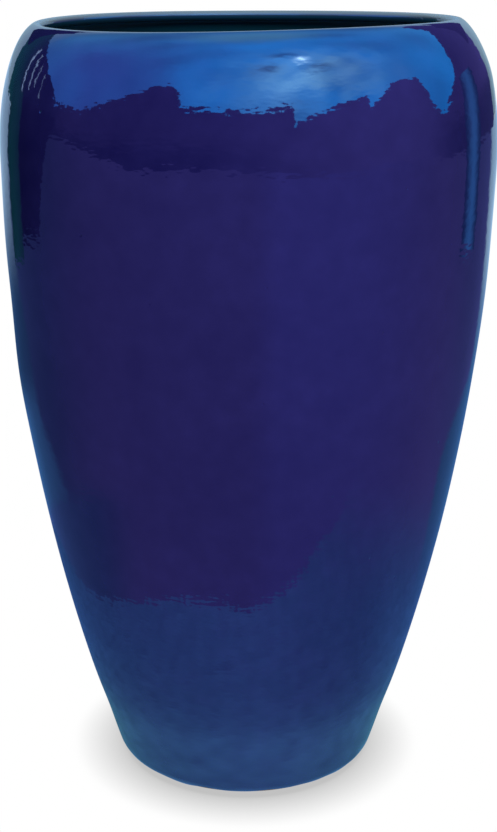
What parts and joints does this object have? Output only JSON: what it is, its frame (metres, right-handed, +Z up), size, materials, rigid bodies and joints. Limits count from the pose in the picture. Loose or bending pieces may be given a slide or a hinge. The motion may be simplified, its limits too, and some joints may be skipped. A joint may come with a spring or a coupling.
{
  "type": "planter",
  "caption": "Tall round floor planter of blue glazed stoneware, full shoulder with a rolled lip, wall tapering to a narrow foot; holds soil and a plant over a plugged drain hole.",
  "frame": {"origin": "on the planter's axis, at the floor it stands on, level with the undersides of the foot pads", "axes": "+Z up along the axis from the foot to the mouth; -Y towards the viewer of the picture; +X to the viewer's right"},
  "size_m": [0.5659, 0.566, 0.9],
  "materials": {
    "stoneware": "bare fired clay, matte, buff brown",
    "blue_glaze": "glossy dark cobalt blue glaze",
    "plug_rubber": "matte black rubber",
    "screen_plastic": "matte dark green moulded plastic",
    "pad_rubber": "matte dark grey rubber"
  },
  "bodies": {
    "pot": {"clay_body": "stoneware", "glaze_coat": "blue_glaze", "foot_pad_1": "pad_rubber", "foot_pad_2": "pad_rubber", "foot_pad_3": "pad_rubber", "foot_pad_4": "pad_rubber"},
    "plug": {"drain_plug": "plug_rubber"},
    "screen": {"drain_screen": "screen_plastic"}
  },
  "joints": [
    {"name": "drain_plug_pull", "type": "slide", "parent": "pot", "child": "plug", "axis": [0, 0, -1], "range_m": [0, 0.045]},
    {"name": "drain_screen_lift", "type": "slide", "parent": "pot", "child": "screen", "axis": [0, 0, 1], "range_m": [0, 0.92]}
  ]
}
